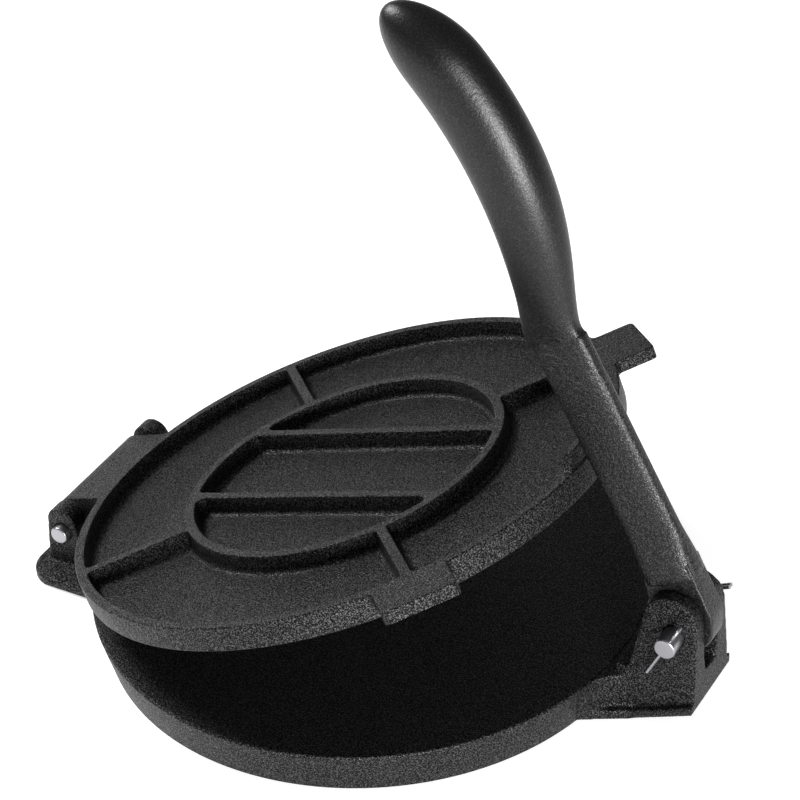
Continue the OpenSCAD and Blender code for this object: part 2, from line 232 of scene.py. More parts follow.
rib_in, rib_out = BAND / 2 - RIB_W / 2, BAND / 2 + RIB_W / 2
POCKETS = [tidy_ring(turn2(sector_pocket(), 45 + 90 * k)) for k in range(4)]
POCKETS += [band_pocket(-rib_in, rib_in)]
side_pocket = band_pocket(rib_out, None)
POCKETS += [side_pocket, tidy_ring([(x, -y) for x, y in side_pocket])]
print("pockets:", len(POCKETS), "with", sum(map(len, POCKETS)), "points")

# %% [markdown]
# The outside of the lid has two lifting tabs and the lug that the hinge pin runs through. Each grows out of
# the rim with a small fillet, so its outline is joined to the circle by arcs that touch both.

# %% Outer outline of the lid
TAB_HALF, TAB_END, TAB_T = 16.8, LID_R + 18.5, 6.0
LUG_HALF = 28.6
LUG_R = LID_H + LID_Z - HINGE.z
LUG_END = -126.4  # inside the width of the rim, so that the pocket keeps its round wall


def bump(half, end, fillet, corner):
    """Half of a straight-sided bump on the circle about the X axis, from the circle to its end."""
    c = fillet_spot(LID_R, half + fillet, fillet, False)
    a = math.degrees(math.atan2(c[1], c[0]))
    side = arc(c, fillet, 180 + a, 270, 6)
    outer = arc((end - corner, half - corner), corner, 90, 0, 6) if corner else [(end, half)]
    return a, side + outer


def outer_outline():
    """Anticlockwise from the tab at -45 degrees: tab, rim, tab, rim, lug, rim."""
    tab_a, tab_side = bump(TAB_HALF, TAB_END, 2.5, 2.5)
    lug_a, lug_side = bump(LUG_HALF, -HINGE.x, 3.0, 0)
    tab = [(x, -y) for x, y in tab_side] + tab_side[::-1]
    lug = [(x, -y) for x, y in lug_side] + lug_side[::-1]
    pts = turn2(tab, -45) + arc((0, 0), LID_R, -45 + tab_a, 45 - tab_a, 36) + turn2(tab, 45)
    pts += arc((0, 0), LID_R, 45 + tab_a, 180 - lug_a, 80) + turn2(lug, 180)
    pts += arc((0, 0), LID_R, 180 + lug_a, 315 - tab_a, 80)
    return tidy_ring(pts)


RIM_LINE = outer_outline()
print("outer outline:", len(RIM_LINE), "points")

# %% [markdown]
# Each profile below is a list of (inwards, down) steps. A short flat step on each side of a rounding keeps
# the big flat faces from picking up its shading.

# %% Cast the lid
EDGE, FOOT = 0.55, 2.3  # radii over the top edge and in the foot of a pocket's wall
LEAN = 0.7  # how far a pocket's wall leans in, so that the pattern leaves the sand
FLAT = 0.3  # width of the flat step beside a rounding
LIP = EDGE + 0.25  # radius over the rim's outer edge
SOLE_EDGE = 0.8  # radius under the edge that meets the base


def wall_profile(depth):
    top = [(0.0, 0.0)] + quarter(EDGE, 4)[1:]
    bottom = [(EDGE + LEAN + a, depth - FOOT + b) for a, b in quarter(FOOT, 6, foot=True)]
    return [(-FLAT, 0.0)] + top + bottom + [(bottom[-1][0] + FLAT, depth)]


def lid_shell():
    s = Shell()
    s.cap(LID_H, offset(RIM_LINE, -LIP - FLAT), [offset(p, FLAT) for p in POCKETS])
    profile = wall_profile(LID_H - FLOOR_T)
    for p in POCKETS:
        s.add(*loft([[(x, y, LID_H - down) for x, y in offset(p, -inward)] for inward, down in profile]))
        s.cap(FLOOR_T, offset(p, -profile[-1][0]))
    side = [(-LIP - FLAT, 0.0)] + [(a - LIP, b) for a, b in quarter(LIP, 4)] + [(0.0, TAB_T)]
    s.add(*loft([[(x, y, LID_H - down) for x, y in offset(RIM_LINE, out)] for out, down in side]))
    s.cap(LID_H - TAB_T, RIM_LINE, [arc((0, 0), LID_R - 0.6, 0, 360 - 2, 179)])
    return s


def lid_underside(s):
    """The rim below the tabs, and the flat pressing face."""
    drop = [(0.0, LID_H - TAB_T), (0.0, SOLE_EDGE)]
    drop += [(-a, SOLE_EDGE - b) for a, b in quarter(SOLE_EDGE, 4, foot=True)] + [(-SOLE_EDGE - FLAT, 0.0)]
    circle = arc((0, 0), LID_R, 0, 359, 359)
    s.add(*loft([[(x, y, z) for x, y in offset(circle, out)] for out, z in drop]))
    s.cap(0.0, offset(circle, -SOLE_EDGE - FLAT))


def across(s, outline, half, edge, place=lambda x, y, z: (x, y, z)):
    """A bar along Y with an outline in X and Z and rounded ends."""
    ends = [(-edge - FLAT, 0.0)] + [(a - edge, b) for a, b in quarter(edge, 4)]
    rows = [(out, -half + y) for out, y in ends] + [(out, half - y) for out, y in ends[::-1]]
    s.add(*loft([[place(x, y, z) for x, z in offset(outline, out)] for out, y in rows]))
    for y in (-half, half):
        tip = [(x, z) for x, z in offset(outline, -edge - FLAT)]
        tris = tessellate_polygon([[Vector((x, z, 0)) for x, z in tip]])
        s.add([place(x, y, z) for x, z in tip], [list(t) for t in tris])


def lid_lug(s):
    """The barrel round the hinge pin; it is a hair smaller than the outline that it grows out of."""
    hair = 0.03
    r, cx, cz = LUG_R - hair, HINGE.x, HINGE.z - LID_Z
    low = math.degrees(math.asin(-cz / r))
    barrel = arc((cx, cz), r, 90, 360 + low, 64)
    across(s, tidy_ring(barrel + [(LUG_END, 0.02), (LUG_END, LID_H - hair)]), LUG_HALF - 0.02, 0.6)


PAD_FOOT_HALF, PAD_TOP_HALF, PAD_MID_R = 12.4, 9.8, 127.0


def sector(half_angle, r_in, r_out):
    """An outline between two arcs about the origin, the same angle to each side of the X axis."""
    return arc((0, 0), r_out, -half_angle, half_angle, 14) + arc((0, 0), r_in, half_angle, -half_angle, 14)


def lid_pad(s):
    """The raised pad on the front of the rim that the lever bears on."""
    low, high = math.degrees(PAD_FOOT_HALF / PAD_MID_R), math.degrees(PAD_TOP_HALF / PAD_MID_R)
    # each row is a half angle, an inner and an outer radius, and a height
    rows = [(low + 1.0, 123.9, 129.25, 11.6), (low, 124.6, 129.25, 12.1), (low - 0.4, 125.0, 129.25, 13.0),
            (high + 0.15, 125.4, 129.25, 18.6), (high - 0.05, 125.6, 129.1, 19.2),
            (high - 0.35, 126.0, 128.7, 19.5)]
    s.add(*loft([[(x, y, z) for x, y in sector(a, r_in, r_out)] for a, r_in, r_out, z in rows]))
    for a, r_in, r_out, z in (rows[-1], rows[0]):
        s.cap(z, sector(a, r_in, r_out))


lid_parts = lid_shell()
lid_underside(lid_parts)
lid_lug(lid_parts)
lid_pad(lid_parts)
lid = solid("lid_casting", lid_parts.verts, lid_parts.faces, lid_place)

# %% [markdown]
# ## The lever
# The lever is one long casting: a flat bar near its pin that swells into a round grip. Its section changes
# along a curved line, so it suits Geometry Nodes: a line carries the half depth, half thickness and
# squareness of each section, and the tree sweeps a ring along it and moves each point of the ring out to
# its place.

# %% The line that the lever follows
BAR_UNDER, BAR_DEPTH, BAR_T = 8.4, 26.0, 9.5
SHOULDER_T, SHOULDER_U = 15.0, 20.5
GRIP_START, LEVER_LEN, GRIP_DEPTH, GRIP_T = 140.0, 298.0, 35.0, 28.0
GRIP_RISE, TIP_RISE = 15.2, -1.4
BAR_MID = BAR_DEPTH / 2 - BAR_UNDER
BAR_SQUARE = (5.0, 3.2)  # powers of the section's inner and outer side: 2 is an ellipse, more is squarer
GRIP_SQUARE = 2.1
TIP_FROM = 0.885  # share of the grip after which it rounds off to its tip
BAR_STEPS, GRIP_STEPS = 41, 90


def mix(a, b, t):
    return a + (b - a) * t


def smooth(t):
    c = min(1.0, max(0.0, t))
    return c * c * (3 - 2 * c)


def grip_station(t):
    """Place along and above the bar, half depth, half thickness, and the powers of the two sides."""
    grip = LEVER_LEN - GRIP_START
    u = [GRIP_START, GRIP_START + 0.05 * grip, LEVER_LEN - 0.6 * grip, LEVER_LEN]
    v = [0.0, -0.6 * GRIP_RISE, 2.6 * GRIP_RISE, TIP_RISE]
    w = [(1 - t) ** 3, 3 * t * (1 - t) ** 2, 3 * t * t * (1 - t), t ** 3]
    past = max(0.0, t - TIP_FROM) / (1 - TIP_FROM)
    tip = math.sqrt(max(0.0004, 1 - past ** 2))
    depth = mix(BAR_DEPTH, GRIP_DEPTH, smooth((t - 0.05) / 0.85)) / 2
    thick = mix(BAR_T, GRIP_T, smooth(t / 0.7)) / 2
    along, above = sum(a * b for a, b in zip(u, w)), sum(a * b for a, b in zip(v, w))
    square = [mix(power, GRIP_SQUARE, smooth(t / 0.35)) for power in BAR_SQUARE]
    return (along, BAR_MID + above, depth * tip, thick * tip, *square)


stations = []
for k in range(BAR_STEPS):
    t = k / BAR_STEPS
    thick = mix(SHOULDER_T, BAR_T, smooth((t - 0.05) / 0.18)) / 2
    stations.append((mix(SHOULDER_U, GRIP_START, t), BAR_MID, BAR_DEPTH / 2, thick, *BAR_SQUARE))
stations += [grip_station(math.sin(math.pi / 2 * k / GRIP_STEPS)) for k in range(GRIP_STEPS + 1)]
print("stations:", len(stations))

# %% [markdown]
# One small function adds a node, sets its values and links its inputs. The tree is built from it, and the
# same function builds the materials further down.

# %% Node helper and the section tree
def node(tree, kind, settings=None, **inputs):
    """Adds a node; an input is a value or an output socket, and _0, _1 name inputs by their place."""
    n = tree.nodes.new(kind)
    for key, value in (settings or {}).items():
        setattr(n, key, value)
    for key, value in inputs.items():
        socket = n.inputs[int(key[1:])] if key[0] == "_" else n.inputs[key.replace("_", " ")]
        if isinstance(value, bpy.types.NodeSocket):
            tree.links.new(value, socket)
        else:
            socket.default_value = value
    return n


def swept_section_tree():
    tree = bpy.data.node_groups.new("swept_section", "GeometryNodeTree")
    face = tree.interface
    face.new_socket("Geometry", in_out="INPUT", socket_type="NodeSocketGeometry")
    face.new_socket("Geometry", in_out="OUTPUT", socket_type="NodeSocketGeometry")
    count = face.new_socket("Ring points", in_out="INPUT", socket_type="NodeSocketInt")
    outward = face.new_socket("Outward", in_out="INPUT", socket_type="NodeSocketVector")
    metal = face.new_socket("Material", in_out="INPUT", socket_type="NodeSocketMaterial")
    count.default_value = 40
    given = node(tree, "NodeGroupInput").outputs

    line = node(tree, "GeometryNodeMeshToCurve", Mesh=given["Geometry"]).outputs["Curve"]
    centre = node(tree, "GeometryNodeInputPosition").outputs["Position"]
    kept = node(tree, "GeometryNodeStoreNamedAttribute", {"data_type": "FLOAT_VECTOR", "domain": "POINT"},
                Geometry=line, Name="centre", Value=centre).outputs["Geometry"]
    circle = node(tree, "GeometryNodeCurvePrimitiveCircle", Resolution=given["Ring points"], Radius=0.001)
    turn = node(tree, "GeometryNodeSplineParameter").outputs["Factor"]
    ring = node(tree, "GeometryNodeStoreNamedAttribute", {"data_type": "FLOAT", "domain": "POINT"},
                Geometry=circle.outputs["Curve"], Name="turn", Value=turn).outputs["Geometry"]
    swept = node(tree, "GeometryNodeCurveToMesh", Curve=kept, Profile_Curve=ring,
                 Fill_Caps=True).outputs["Mesh"]
    measures = ("turn", "half_depth", "half_thickness", "square_in", "square_out")
    read = {m: node(tree, "GeometryNodeInputNamedAttribute", {"data_type": "FLOAT"}, Name=m).outputs[0]
            for m in measures}
    angle = node(tree, "ShaderNodeMath", {"operation": "MULTIPLY"}, _0=read["turn"],
                 _1=2 * math.pi).outputs[0]
    cosine = node(tree, "ShaderNodeMath", {"operation": "COSINE"}, _0=angle).outputs[0]
    sine = node(tree, "ShaderNodeMath", {"operation": "SINE"}, _0=angle).outputs[0]
    outer = node(tree, "ShaderNodeMath", {"operation": "GREATER_THAN"}, _0=cosine, _1=0.0).outputs[0]
    square = node(tree, "ShaderNodeMix", {"data_type": "FLOAT"}, _0=outer, _2=read["square_in"],
                  _3=read["square_out"]).outputs[0]
    power = node(tree, "ShaderNodeMath", {"operation": "DIVIDE"}, _0=2.0, _1=square).outputs[0]
    reach = []
    for swing, half in ((cosine, "half_depth"), (sine, "half_thickness")):
        size = node(tree, "ShaderNodeMath", {"operation": "ABSOLUTE"}, _0=swing).outputs[0]
        shaped = node(tree, "ShaderNodeMath", {"operation": "POWER"}, _0=size, _1=power).outputs[0]
        sign = node(tree, "ShaderNodeMath", {"operation": "SIGN"}, _0=swing).outputs[0]
        signed = node(tree, "ShaderNodeMath", {"operation": "MULTIPLY"}, _0=sign, _1=shaped).outputs[0]
        far = node(tree, "ShaderNodeMath", {"operation": "MULTIPLY"}, _0=signed, _1=read[half])
        reach.append(far.outputs[0])
    deep = node(tree, "ShaderNodeVectorMath", {"operation": "SCALE"}, _0=given["Outward"],
                Scale=reach[0]).outputs[0]
    wide = node(tree, "ShaderNodeCombineXYZ", Y=reach[1]).outputs[0]
    middle = node(tree, "GeometryNodeInputNamedAttribute", {"data_type": "FLOAT_VECTOR"}, Name="centre")
    place = node(tree, "ShaderNodeVectorMath", {"operation": "ADD"}, _0=deep, _1=wide).outputs[0]
    place = node(tree, "ShaderNodeVectorMath", {"operation": "ADD"}, _0=place,
                 _1=middle.outputs["Attribute"]).outputs[0]
    moved = node(tree, "GeometryNodeSetPosition", Geometry=swept, Position=place).outputs["Geometry"]
    real = node(tree, "GeometryNodeRealizeInstances", Geometry=moved).outputs["Geometry"]
    done = node(tree, "GeometryNodeSetMaterial", Geometry=real,
                Material=given["Material"]).outputs["Geometry"]
    node(tree, "NodeGroupOutput", Geometry=done)
    return tree, {"count": count.identifier, "outward": outward.identifier, "metal": metal.identifier}


# %% [markdown]
# ## Finishes
# The castings are grey iron from a sand mould, sprayed with oil and baked. The sand leaves a grain of well
# under a millimetre, and the baked oil makes a black satin skin over it, so the metal below never shows:
# the skin is a dielectric, dark in itself, and each grain catches a small spark of light. Noise bump gives
# the grain.

# %% Colour and the two materials
def srgb(code):
    """A hex colour as linear values."""
    parts = [int(code[i:i + 2], 16) / 255 for i in (1, 3, 5)]
    return tuple(c / 12.92 if c <= 0.04045 else ((c + 0.055) / 1.055) ** 2.4 for c in parts) + (1.0,)


def per_mm(size):
    """A texture scale for features of this many millimetres."""
    return 1000.0 / size


def new_material(name):
    mat = bpy.data.materials.new(name)
    mat.use_nodes = True
    mat.node_tree.nodes.clear()
    return mat, mat.node_tree


NEVER_WORN = 9.0  # metres, far above the press


def seasoned_iron(name, grain=0.65, bump=1.0, rough=(0.42, 0.50), shine=(0.08, 1.0), worn_from=NEVER_WORN):
    """Sand-cast iron with baked black oil: a near-black skin whose grains catch the light one by one.

    Above the height worn_from, in metres, hands have rubbed the grain smooth."""
    mat, tree = new_material(name)
    where = node(tree, "ShaderNodeTexCoord").outputs["Object"]
    fine = node(tree, "ShaderNodeTexNoise", Vector=where, Scale=per_mm(grain), Detail=2.0, Roughness=0.6)
    sand = node(tree, "ShaderNodeTexNoise", Vector=where, Scale=per_mm(grain * 2.6), Detail=1.0)
    cloud = node(tree, "ShaderNodeTexNoise", Vector=where, Scale=per_mm(30), Detail=3.0)
    height = node(tree, "ShaderNodeSeparateXYZ", Vector=where).outputs["Z"]
    rubbed = node(tree, "ShaderNodeMapRange", Value=height, From_Min=worn_from, From_Max=worn_from + 0.03,
                  To_Min=1.0, To_Max=0.3)
    speck = node(tree, "ShaderNodeMapRange", Value=fine.outputs["Fac"], From_Min=0.48, From_Max=0.64)
    kept = node(tree, "ShaderNodeMath", {"operation": "MULTIPLY"}, _0=speck.outputs["Result"],
                _1=rubbed.outputs["Result"])
    tone = node(tree, "ShaderNodeMix", {"data_type": "RGBA"}, _0=kept.outputs[0], _6=srgb("#050506"),
                _7=srgb("#1e1e20"))
    level = node(tree, "ShaderNodeMapRange", Value=kept.outputs[0], To_Min=shine[0], To_Max=shine[1])
    gloss = node(tree, "ShaderNodeMapRange", Value=cloud.outputs["Fac"], To_Min=rough[0], To_Max=rough[1])
    relief = node(tree, "ShaderNodeMath", {"operation": "ADD"}, _0=fine.outputs["Fac"],
                  _1=sand.outputs["Fac"])
    depth = node(tree, "ShaderNodeMath", {"operation": "MULTIPLY"}, _0=relief.outputs[0],
                 _1=rubbed.outputs["Result"])
    bumps = node(tree, "ShaderNodeBump", Strength=1.0, Distance=0.0004 * bump, Height=depth.outputs[0])
    skin = node(tree, "ShaderNodeBsdfPrincipled", Base_Color=tone.outputs[2], Metallic=0.0, IOR=1.5,
                Specular_IOR_Level=level.outputs["Result"], Roughness=gloss.outputs["Result"],
                Normal=bumps.outputs["Normal"])
    node(tree, "ShaderNodeOutputMaterial", Surface=skin.outputs["BSDF"])
    return mat


def drawn_steel(name):
    """Bright drawn steel: fine lines along the wire or pin, with a pale, slightly soft reflection."""
    mat, tree = new_material(name)
    where = node(tree, "ShaderNodeTexCoord").outputs["Object"]
    stretched = node(tree, "ShaderNodeMapping", Vector=where, Scale=(1.0, 0.05, 1.0))
    lines = node(tree, "ShaderNodeTexNoise", Vector=stretched.outputs["Vector"], Scale=per_mm(0.5),
                 Detail=2.0)
    gloss = node(tree, "ShaderNodeMapRange", Value=lines.outputs["Fac"], To_Min=0.26, To_Max=0.44)
    relief = node(tree, "ShaderNodeBump", Strength=0.3, Distance=0.00003, Height=lines.outputs["Fac"])
    metal = node(tree, "ShaderNodeBsdfPrincipled", Base_Color=srgb("#a4a4a8"), Metallic=1.0,
                 Roughness=gloss.outputs["Result"], Normal=relief.outputs["Normal"])
    node(tree, "ShaderNodeOutputMaterial", Surface=metal.outputs["BSDF"])
    return mat


IRON = seasoned_iron("sand_cast_seasoned_iron")
WORN_IRON = seasoned_iron("hand_worn_seasoned_iron", bump=0.7, rough=(0.34, 0.40), shine=(0.35, 1.0),
                          worn_from=0.165)
STEEL = drawn_steel("bright_drawn_steel")
lid.data.materials.append(IRON)
print("materials:", IRON.name, WORN_IRON.name, STEEL.name)

# %% [markdown]
# The sections above become points of a line, with one attribute for each measure, and the tree sweeps the
# ring along it. The result is kept as a plain mesh. The tongue between the ears of the bracket is a bar of
# its own.

# %% Sweep the lever
def baked(obj, name):
    """The evaluated object as a plain mesh in a new object; the old one is removed."""
    deps = bpy.context.evaluated_depsgraph_get()
    mesh = bpy.data.meshes.new_from_object(obj.evaluated_get(deps))
    new = bpy.data.objects.new(name, mesh)
    bpy.context.scene.collection.objects.link(new)
    bpy.data.objects.remove(obj)
    mesh.name = name
    print(name, len(mesh.polygons), "faces")
    return new


START_R = 1.3  # radius that rounds off the shoulder end of the bar


def rounded_start(first, r=START_R, n=5):
    """Extra stations that round off the shoulder end of the bar."""
    out = []
    for k in range(n):
        a = math.pi / 2 * k / n
        less = r * (1 - math.sin(a))
        along = first[0] + r * (1 - math.cos(a))
        out.append((along, first[1], first[2] - less, first[3] - less) + first[4:])
    return out


def swept_lever():
    rows = rounded_start(stations[0]) + [s for s in stations if s[0] > SHOULDER_U + START_R + 0.1]
    mesh = bpy.data.meshes.new("lever_line")
    mesh.from_pydata([lever_place((s[0], 0, s[1])) * MM for s in rows],
                     [(k, k + 1) for k in range(len(rows) - 1)], [])
    for column, name in ((2, "half_depth"), (3, "half_thickness"), (4, "square_in"), (5, "square_out")):
        values = mesh.attributes.new(name, "FLOAT", "POINT")
        scale = MM if column < 4 else 1.0
        values.data.foreach_set("value", [s[column] * scale for s in rows])
    line = bpy.data.objects.new("lever_line", mesh)
    bpy.context.scene.collection.objects.link(line)
    tree, keys = swept_section_tree()
    sweep = line.modifiers.new("sweep", "NODES")
    sweep.node_group = tree
    sweep[keys["count"]] = 48
    sweep[keys["outward"]] = lever_place((0, 0, 1)) - lever_place((0, 0, 0))
    sweep[keys["metal"]] = WORN_IRON
    return baked(line, "lever_bar")


TONGUE_R, TONGUE_HALF = 14.3, 6.0


def lever_tongue():
    """The round-ended tongue that turns between the ears of the bracket."""
    root, top = SHOULDER_U + 8, BAR_DEPTH - BAR_UNDER
    pts = arc((0, 0), TONGUE_R, 0, 350, 35) + arc((2.5, 4), TONGUE_R - 2.5, 0, 350, 35)
    pts += [(root, -BAR_UNDER + 1), (root, top - 1), (8, top - 1.6)]
    hull = tidy_ring([pts[k] for k in convex_hull_2d([Vector(p) for p in pts])])
    s = Shell()
    across(s, hull, TONGUE_HALF, 1.0)
    return solid("lever_tongue", s.verts, s.faces, lever_place)


lever = swept_lever()
clean = bmesh.new()
clean.from_mesh(lever.data)
bmesh.ops.remove_doubles(clean, verts=clean.verts, dist=0.00002)
bmesh.ops.recalc_face_normals(clean, faces=clean.faces)
clean.to_mesh(lever.data)
clean.free()
lever.data.shade_smooth()
lever.data.set_sharp_from_angle(angle=math.radians(40))
tongue = lever_tongue()
tongue.data.materials.append(WORN_IRON)

# %% [markdown]
# ## The base
# The base is a round dish that stands on its rim, turned like a bowl. The bracket for the lever and the
# ears for the hinge pin are lumps of many shapes that flow into each other, as patterns filled with clay
# fillets do. The mechanical model holds those shapes with sharp edges, so a copy is remeshed finely and
# smoothed, which rounds the edges and fills the corners as a foundry does.

# %% Turn the dish
BASE_WALL = BASE_PLATE = 6.0
TOP_EDGE, FOOT_EDGE, INNER_FOOT = 1.2, 0.8, 3.0  # radii of the dish's outer edges and of its inner corner
FOOT_R = BASE_R - BASE_DRAFT


def turned_dish():
    edge = BASE_R - TOP_EDGE
    top = [(edge - FLAT, BASE_H)] + [(edge + a, BASE_H - b) for a, b in quarter(TOP_EDGE, 5)]
    foot = [(FOOT_R, FOOT_EDGE)]
    foot += [(FOOT_R - a, FOOT_EDGE - b) for a, b in quarter(FOOT_EDGE, 4, foot=True)]
    in_r, corner_z = FOOT_R - BASE_WALL, BASE_H - BASE_PLATE - INNER_FOOT
    corner_r = in_r - INNER_FOOT / 2
    inner = [(in_r + FOOT_EDGE, 0.0), (in_r, FOOT_EDGE), (corner_r, corner_z)]
    inner += [(corner_r - a, corner_z + b) for a, b in quarter(INNER_FOOT, 5, foot=True)]
    rows = top + foot + inner
    angles = [math.radians(2 * k) for k in range(180)]
    s = Shell()
    s.add(*loft([[(r * math.cos(a), r * math.sin(a), z) for a in angles] for r, z in rows]))
    s.cap(rows[0][1], [(rows[0][0] * math.cos(a), rows[0][0] * math.sin(a)) for a in angles])
    s.cap(rows[-1][1], [(rows[-1][0] * math.cos(a), rows[-1][0] * math.sin(a)) for a in angles])
    return solid("base_dish", s.verts, s.faces, crease=50)


dish = turned_dish()

# %% [markdown]
# The copy keeps only its two ends. It is cut off flush at the dish's leaning wall, so that the dish stays
# as crisp as it was turned and nothing lies doubled on it.

# %% Round the bracket and ears
HINGE_END = (-190.0, -95.0, 70.0)  # the box round each end, from x to x and half its width
LEVER_END = (95.0, 200.0, 52.0)
WALL_SKIN = 0.05  # how far the cut stays outside the dish's wall


def cut_by(obj, kind, name, s):
    """A Boolean modifier on obj with a cutter made from the shell s; returns the cutter."""
    cutter = solid(name, s.verts, s.faces)
    cut = obj.modifiers.new(name, "BOOLEAN")
    cut.operation, cut.solver, cut.object = kind, "EXACT", cutter
    return cutter


def tower(s, outline, low, high):
    """Adds an upright prism over an outline to the shell s."""
    s.add(*loft([[(x, y, z) for x, y in outline] for z in (low, high)]))
    s.cap(low, outline)
    s.cap(high, outline)


def keep_large_parts(obj, share):
    """Deletes the loose parts that hold less than a share of the vertices."""
    bm = bmesh.new()
    bm.from_mesh(obj.data)
    left, total = set(bm.verts), len(bm.verts)
    while left:
        part, front = set(), [left.pop()]
        while front:
            v = front.pop()
            part.add(v)
            near = {e.other_vert(v) for e in v.link_edges} & left
            left -= near
            front += near
        if len(part) < share * total:
            bmesh.ops.delete(bm, geom=list(part), context="VERTS")
    bm.to_mesh(obj.data)
    bm.free()


def rounded_lugs(name, voxel, passes):
    """The bracket, ears and foot plate with the soft edges of a casting, cut flush at the dish's wall."""
    obj = bpy.data.objects.new(name, NODES["base"].data.copy())
    bpy.context.scene.collection.objects.link(obj)
    keep = Shell()
    for x0, x1, half in (HINGE_END, LEVER_END):
        tower(keep, [(x0, -half), (x1, -half), (x1, half), (x0, half)], -10.0, 90.0)
    cutters = [cut_by(obj, "INTERSECT", "two_ends", keep)]
    fine = obj.modifiers.new("fine", "REMESH")
    fine.mode, fine.voxel_size = "VOXEL", voxel * MM
    soft = obj.modifiers.new("soft", "SMOOTH")
    soft.factor, soft.iterations = 0.5, passes
    cone, slope = Shell(), BASE_DRAFT / BASE_H
    ends = [(FOOT_R + slope * z + WALL_SKIN, z) for z in (-5.0, BASE_H + WALL_SKIN)]
    cone.add(*loft([[(x, y, z) for x, y in arc((0, 0), r, 0, 359, 359)] for r, z in ends]))
    for r, z in ends:
        cone.cap(z, arc((0, 0), r, 0, 359, 359))
    cutters.append(cut_by(obj, "DIFFERENCE", "dish_cutter", cone))
    new = baked(obj, name)
    for cutter in cutters:
        bpy.data.objects.remove(cutter)
    keep_large_parts(new, share=0.02)
    new.data.materials.clear()
    new.data.shade_smooth()
    return new


lugs = rounded_lugs("base_bracket_and_ears", voxel=0.7, passes=8)
for piece in (dish, lugs):
    piece.data.materials.append(IRON)

# %% [markdown]
# ## The pins
# Both hinges turn on plain steel pins with lightly rounded ends. A split pin keeps the lever pin from
# sliding out at each end: a loop of half-round wire whose two legs lie together in a hole through the pin.

# %% Turn the pins and bend the split pins
HINGE_PIN_R, HINGE_PIN_HALF = 4.5, 44.5
LEVER_PIN_R, LEVER_PIN_HALF = 5.0, 24.9
PIN_EDGE, PIN_DOME, PIN_SIDES = 0.9, 0.12, 72


def pin(name, centre, r, half):
    """A pin along Y; its ends stand PIN_DOME proud in the middle and are rounded at the edge."""
    rows = [(r - PIN_EDGE - 1.0, -PIN_DOME)] + [(r - PIN_EDGE + a, b) for a, b in quarter(PIN_EDGE, 5)]
    rings = [(q, -half + PIN_DOME + y) for q, y in rows]
    rings += [(q, half - PIN_DOME - y) for q, y in rows[::-1]]
    way = [(math.cos(math.radians(360 / PIN_SIDES * k)), math.sin(math.radians(360 / PIN_SIDES * k)))
           for k in range(PIN_SIDES)]
    loops = [[(centre.x + q * c, y, centre.z + q * d) for c, d in way] for q, y in rings]
    s = Shell()
    s.add(*loft(loops))
    for loop in (loops[0], loops[-1]):
        s.add(loop, [list(range(PIN_SIDES))])
    obj = solid(name, s.verts, s.faces)
    obj.data.materials.append(STEEL)
    return obj


def wire(s, path, r, n=12):
    """A round wire along a path of points."""
    rings = []
    for k, p in enumerate(path):
        d = (path[min(k + 1, len(path) - 1)] - path[max(k - 1, 0)]).normalized()
        side = Vector((0, 1, 0)) if abs(d.y) < 0.9 else Vector((1, 0, 0))
        a = d.cross(side).normalized()
        b = d.cross(a)
        rings.append([tuple(p + (a * math.cos(2 * math.pi * j / n) + b * math.sin(2 * math.pi * j / n)) * r)
                      for j in range(n)])
    s.add(*loft(rings))
    for ring in (rings[0], rings[-1]):
        s.add(ring, [list(range(n))])


WIRE_R, EYE_R = 0.9, 2.6
LEG_Y = WIRE_R + 0.03  # the two legs lie side by side with a hair between them
SPLIT_Y = 21.4  # from the middle of the lever pin to the hole for each split pin
NEAR_SPLIT = (-SPLIT_Y, 28.0, 29.0)  # place along the pin, lean in degrees, and length of the legs
FAR_SPLIT = (SPLIT_Y, 28.0 + 217.0, 21.0)


def split_pins():
    """Two loops of wire: each has a round eye on top of the pin and two straight legs below it."""
    s, top = Shell(), LEVER_PIN_R + EYE_R + 2 * WIRE_R
    for y, turn, length in (NEAR_SPLIT, FAR_SPLIT):
        eye = [math.radians(a) for a in range(30, 331, 15)]
        path = [Vector((0, -LEG_Y, top - length)), Vector((0, -LEG_Y, top - EYE_R - 1.0))]
        path += [Vector((0, -EYE_R * math.sin(a), top - EYE_R * math.cos(a))) for a in eye]
        path += [Vector((0, LEG_Y, top - EYE_R - 1.0)), Vector((0, LEG_Y, top - length))]
        fine = [a.lerp(b, k / 3) for a, b in zip(path, path[1:]) for k in range(3)] + [path[-1]]
        wire(s, [turned(PIVOT + p + Vector((0, y, 0)), PIVOT, math.radians(turn)) for p in fine], WIRE_R)
    obj = solid("split_pin_wires", s.verts, s.faces)
    obj.data.materials.append(STEEL)
    return obj


hinge_pin = pin("hinge_pin_turned", HINGE, HINGE_PIN_R, HINGE_PIN_HALF)
lever_pin = pin("lever_pin_turned", PIVOT, LEVER_PIN_R, LEVER_PIN_HALF)
splits = split_pins()

# %% [markdown]
# ## Bodies
# Each piece is parented to an empty named after a body of the mechanical model. A piece that has a
# solid of its own there takes that solid's place, and that solid is hidden; the tongue and the lugs belong
# to one named already.

# %% Hang each piece on its body and hide the model's own solid
PIECES = (
    (lid, "lid_body", "black_iron", "lid"),
    (lever, "lever_body", "black_iron", "lever"),
    (tongue, "lever_body", "black_iron", None),
    (dish, "base_body", "black_iron", "base"),
    (lugs, "base_body", "black_iron", None),
    (hinge_pin, "base_body", "bright_steel", "hinge_pin"),
    (lever_pin, "base_body", "bright_steel", "lever_pin"),
    (splits, "base_body", "bright_steel", "split_pins"),
)
for piece, body, slot, cad in PIECES:
    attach(piece, body)
    if cad:
        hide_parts(cad)
print("pieces:", len(PIECES))

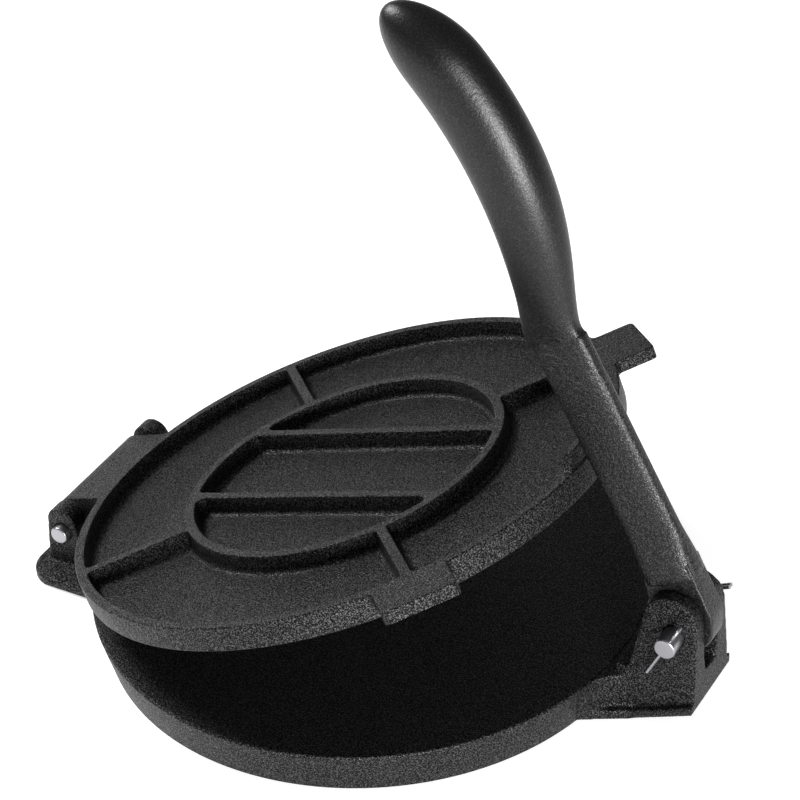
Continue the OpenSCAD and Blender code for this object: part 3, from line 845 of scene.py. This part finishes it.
# %% [markdown]
# ## Floor, light and camera
# Black iron shows only what it reflects. A soft box high on the left lights the tops of the lid and the
# ribs, and a lower key on the right lights the walls, the bracket and the side of the grip. A faint light
# from behind lifts the far edges. The floor alone glows for the rays that see it, so it stays white under a
# dim room, and the iron keeps its black.

# %% Stage
def white_rays(tree):
    """1 for rays that see the floor white: the camera's own, and those off or through other surfaces."""
    rays = node(tree, "ShaderNodeLightPath").outputs
    shiny = node(tree, "ShaderNodeMath", {"operation": "MAXIMUM"}, _0=rays["Is Glossy Ray"],
                 _1=rays["Is Transmission Ray"])
    return node(tree, "ShaderNodeMath", {"operation": "MAXIMUM"}, _0=rays["Is Camera Ray"],
                _1=shiny.outputs[0]).outputs[0]


FLOOR_HALF, FLOOR_Z = 8.0, -0.0003  # metres; a hair below the feet, so that no faces lie in one plane


def floor():
    mat, tree = new_material("white_paper_floor")
    seen = white_rays(tree)
    paper = node(tree, "ShaderNodeBsdfDiffuse", Color=(0.85, 0.85, 0.85, 1.0))
    glow = node(tree, "ShaderNodeEmission", Color=(1, 1, 1, 1), Strength=0.55)
    both = node(tree, "ShaderNodeAddShader", _0=paper.outputs["BSDF"], _1=glow.outputs["Emission"])
    shown = node(tree, "ShaderNodeMixShader", _0=seen, _1=paper.outputs["BSDF"], _2=both.outputs["Shader"])
    node(tree, "ShaderNodeOutputMaterial", Surface=shown.outputs["Shader"])
    corners = [(x * FLOOR_HALF, y * FLOOR_HALF, FLOOR_Z) for x, y in ((-1, -1), (1, -1), (1, 1), (-1, 1))]
    mesh = bpy.data.meshes.new("floor")
    mesh.from_pydata(corners, [], [(0, 1, 2, 3)])
    obj = bpy.data.objects.new("floor", mesh)
    bpy.context.scene.collection.objects.link(obj)
    obj.data.materials.append(mat)


def world():
    w = bpy.data.worlds.new("dim_room")
    bpy.context.scene.world = w
    w.use_nodes = True
    tree = w.node_tree
    tree.nodes.clear()
    sky = node(tree, "ShaderNodeBackground", Color=(1, 1, 1, 1), Strength=0.2)
    node(tree, "ShaderNodeOutputWorld", Surface=sky.outputs["Background"])


def area_light(name, at, to, size, power):
    data = bpy.data.lights.new(name, "AREA")
    data.shape, data.size, data.size_y, data.energy = "RECTANGLE", size[0], size[1], power
    obj = bpy.data.objects.new(name, data)
    obj.location = at
    obj.rotation_euler = (Vector(to) - Vector(at)).to_track_quat("-Z", "Y").to_euler()
    bpy.context.scene.collection.objects.link(obj)
    print(name, power, "W")


floor()
world()
area_light("high_soft_box_at_the_left", (-0.95, 0.0, 1.05), (0, 0, 0.02), (0.45, 0.45), 17)
area_light("key_at_the_right", (1.2, -1.12, 0.42), (0, 0, 0.1), (0.6, 0.45), 42)
area_light("back_sheen", (-1.13, 1.13, 0.5), (0, 0, 0.05), (0.8, 0.4), 1)


def camera(lens=124.027, az=31.57, el=34.83, roll=-4.04, at=(0.541224, -0.841066, 0.811425)):
    """A long lens that looks down from the front right, a touch off level."""
    data = bpy.data.cameras.new("camera")
    data.lens, data.sensor_width = lens, 36.0
    data.shift_x, data.shift_y = -0.0066, -0.0029
    obj = bpy.data.objects.new("camera", data)
    obj.location = at
    a, e, r = map(math.radians, (az, el, roll))
    back = Vector((math.sin(a) * math.cos(e), -math.cos(a) * math.cos(e), math.sin(e)))
    right = Vector((math.cos(a), math.sin(a), 0))
    up = back.cross(right)
    right, up = right * math.cos(r) + up * math.sin(r), up * math.cos(r) - right * math.sin(r)
    turn = [[right[i], up[i], back[i]] for i in range(3)]
    obj.rotation_euler = Matrix(turn).to_euler()
    bpy.context.scene.collection.objects.link(obj)
    bpy.context.scene.camera = obj


camera()
bpy.context.scene.view_settings.view_transform = "Standard"
